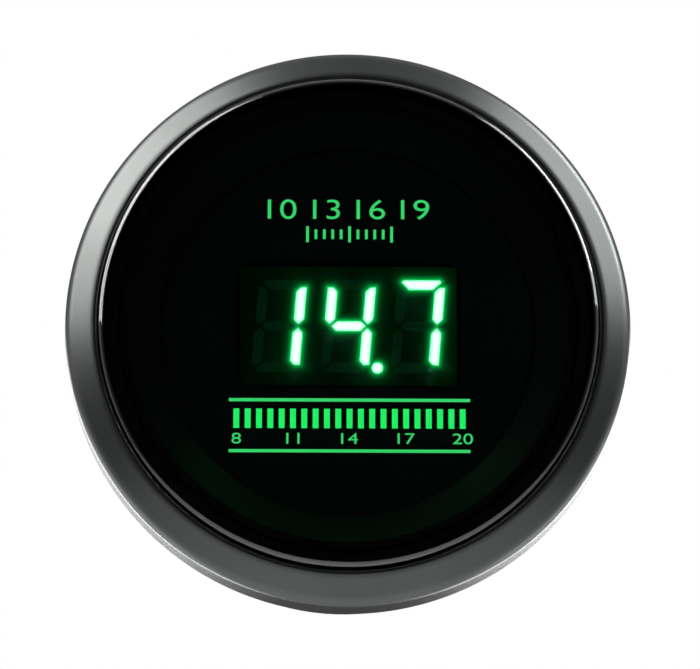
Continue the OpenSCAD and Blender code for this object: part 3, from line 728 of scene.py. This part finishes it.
def make_film():
    """A sheet over the display's face that gives a painted glow, whose glow attribute falls off
    from the lit segments.
    """
    x0, x1, y0, y1 = DISPLAY_LOW.x, DISPLAY_HIGH.x, DISPLAY_LOW.z, DISPLAY_HIGH.z
    nx, ny = round((x1 - x0) / GLOW_SHEET_STEP), round((y1 - y0) / GLOW_SHEET_STEP)
    xs, ys = np.meshgrid(np.linspace(x0, x1, nx + 1), np.linspace(y0, y1, ny + 1))
    points = np.stack([xs.ravel(), ys.ravel()], 1)
    nearest = np.full(len(points), VERY_FAR)
    for a, b in lit_edges():
        along = b - a
        t = np.clip(((points - a) @ along) / max(along @ along, VERY_SHORT), 0, 1)
        gaps = np.linalg.norm(points - a - t[:, None] * along, axis=1)
        nearest = np.minimum(nearest, gaps)
    glow = (NEAR_GLOW * np.exp(-nearest / NEAR_REACH) + FAR_GLOW * np.exp(-nearest / FAR_REACH)
            + EVEN_GLOW)
    z = -DISPLAY_LOW.y + GLOW_SHEET_GAP
    row = nx + 1
    faces = [(j * row + i, j * row + i + 1, (j + 1) * row + i + 1, (j + 1) * row + i)
             for j in range(ny) for i in range(nx)]
    mesh = bpy.data.meshes.new("painted_glow_sheet")
    mesh.from_pydata([local(x, y, z) for x, y in points], [], faces)
    levels = mesh.attributes.new("glow", "FLOAT", "POINT")
    levels.data.foreach_set("value", glow.astype(np.float32))
    # A sheet that paints the segments' scattered light as a green glow
    add_piece("painted_glow_sheet", mesh, "housing", green_film("painted_segment_glow"))


make_film()


# Stage and lamps


FLOOR_Z = -0.95
FLOOR_R = 2.5
FLOOR_STEPS = 64
FLOOR_GLOW = 0.22
FLOOR_GREYS = (0.67, 0.69)
FLOOR_PATCH = 60.0

# The studio's brightness, from straight before the gauge (0) to straight behind it (1)
STUDIO = ((0.0, 0.0), (0.06, 0.002), (0.22, 0.075), (0.42, 0.34), (0.68, 0.5), (0.86, 0.25),
          (0.96, 0.02))
STUDIO_BLUE = 1.02
BEHIND_Y = 0.5

WHITE = (1, 1, 1)
WARM_WHITE = (1.0, 1.0, 0.985)
COOL_WHITE = (0.98, 0.99, 1.0)

# Name, direction from the gauge, distance, width and height, brightness, colour
LAMPS = (
    ("key_box", (-0.72, -0.27, 0.63), 0.95, (0.85, 0.98), 3.4, WARM_WHITE),
    ("key_core", (-0.71, -0.27, 0.65), 0.94, (0.25, 0.4), 2.8, WHITE),
    ("fill_box", (0.76, -0.12, 0.62), 0.95, (0.7, 0.80), 2.9, COOL_WHITE),
    ("fill_core", (0.78, 0.0, 0.62), 0.94, (0.16, 0.5), 11, WHITE),
    ("right_back_box", (0.52, 0.85, -0.02), 0.85, (0.4, 0.36), 5.6, WHITE),
    ("right_low_box", (0.36, 0.84, -0.40), 0.85, (0.22, 0.4), 3.5, WHITE),
    ("right_side_box", (0.78, 0.38, -0.48), 0.88, (0.5, 0.7), 1.1, WHITE),
    ("left_back_box", (-0.52, 0.85, -0.05), 0.85, (0.4, 0.36), 4.2, WHITE),
    ("left_low_box", (-0.36, 0.84, -0.40), 0.85, (0.22, 0.4), 3.5, WHITE),
    ("left_side_box", (-0.78, 0.38, -0.48), 0.88, (0.5, 0.7), 1, WHITE),
)


def make_floor():
    """A pale floor that looks nearly white, but lights the object only by what it reflects."""
    bpy.ops.mesh.primitive_circle_add(vertices=FLOOR_STEPS, radius=FLOOR_R, fill_type="NGON",
                                      location=(0, 0, FLOOR_Z))
    floor = bpy.context.object
    floor.name = "floor"
    s = Surface("floor_pale", Roughness=0.9, Emission_Color=(1, 1, 1, 1))
    s.tint(s.noise(FLOOR_PATCH), *((grey,) * 3 for grey in FLOOR_GREYS))
    path = s.add("ShaderNodeLightPath").outputs
    mirrored = s.maths("MAXIMUM", path["Is Glossy Ray"], path["Is Transmission Ray"])
    seen = s.maths("MAXIMUM", path["Is Camera Ray"], mirrored)
    s.link(s.spread(seen, 0.0, FLOOR_GLOW, 0.0, 1.0), s.shader.inputs["Emission Strength"])
    floor.data.materials.append(s.material)


def make_world():
    """White to the camera. To the object it is a studio, darkest in front and straight behind."""
    world = bpy.data.worlds.new("studio")
    bpy.context.scene.world = world
    world.use_nodes = True
    n = Nodes(world.node_tree)
    n.tree.nodes.clear()
    split = n.add("ShaderNodeSeparateXYZ")
    n.link(n.add("ShaderNodeTexCoord").outputs["Generated"], split.inputs[0])
    ramp = n.add("ShaderNodeValToRGB")
    ramp.color_ramp.interpolation = "EASE"
    elements = ramp.color_ramp.elements
    while len(elements) < len(STUDIO):
        elements.new(0.5)
    for element, (place, level) in zip(elements, STUDIO):
        element.position = place
        element.color = (level, level, level * STUDIO_BLUE, 1)
    n.link(n.spread(split.outputs["Y"], 0.0, 1.0, -1.0, 1.0), ramp.inputs["Fac"])
    path = n.add("ShaderNodeLightPath").outputs
    behind = n.maths("GREATER_THAN", split.outputs["Y"], BEHIND_Y)
    through = n.maths("MULTIPLY", path["Is Transmission Ray"], behind)

    # A colour mix has its two colours at inputs 6 and 7, and its result at output 2
    white = n.add("ShaderNodeMix", data_type="RGBA")
    n.link(n.maths("MAXIMUM", path["Is Camera Ray"], through), white.inputs["Factor"])
    n.link(ramp.outputs["Color"], white.inputs[6])
    white.inputs[7].default_value = (*WHITE, 1)
    background = n.add("ShaderNodeBackground")
    n.link(white.outputs[2], background.inputs["Color"])
    n.link(background.outputs[0], n.add("ShaderNodeOutputWorld").inputs["Surface"])


def make_lamp(name, direction, distance, size, radiance, colour):
    """A soft box, given by the direction it stands in and the brightness of its face."""
    data = bpy.data.lights.new(name, "AREA")
    data.shape = "RECTANGLE"
    data.size, data.size_y = size
    data.energy = radiance * math.pi * size[0] * size[1]
    data.color = colour
    lamp = bpy.data.objects.new(name, data)
    bpy.context.scene.collection.objects.link(lamp)
    toward = Vector(direction).normalized()
    lamp.location = toward * distance
    lamp.rotation_euler = toward.to_track_quat("Z", "Y").to_euler()
    lamp.visible_camera = False


make_floor()
make_world()
for row in LAMPS:
    make_lamp(*row)


# Camera, fitted to the ellipses of the photograph's bezel, but a degree less to the side, so
# that no corner of the bracket looks out from behind the bezel


IMAGE_W, IMAGE_H = 700, 669
SENSOR_W = 36.0
CAMERA_DISTANCE = 0.450
CAMERA_BELOW = math.radians(12.49)
CAMERA_LEFT = math.radians(1.1)
FOCAL_PX = 4194.5
MIDDLE_PX = (347.22, 337.71)


def make_camera():
    data = bpy.data.cameras.new("camera")
    data.sensor_width = SENSOR_W
    data.lens = FOCAL_PX / IMAGE_W * SENSOR_W
    data.shift_x = (IMAGE_W / 2 - MIDDLE_PX[0]) / IMAGE_W
    data.shift_y = (MIDDLE_PX[1] - IMAGE_H / 2) / IMAGE_W
    camera = bpy.data.objects.new("camera", data)
    bpy.context.scene.collection.objects.link(camera)
    flat = CAMERA_DISTANCE * math.cos(CAMERA_BELOW)
    place = Vector((-flat * math.sin(CAMERA_LEFT), -flat * math.cos(CAMERA_LEFT),
                    -CAMERA_DISTANCE * math.sin(CAMERA_BELOW)))
    turn = place.to_track_quat("Z", "Y").to_matrix().to_4x4()
    camera.matrix_world = Matrix.Translation(place) @ turn
    bpy.context.scene.camera = camera


make_camera()
bpy.context.scene.view_settings.view_transform = "Standard"
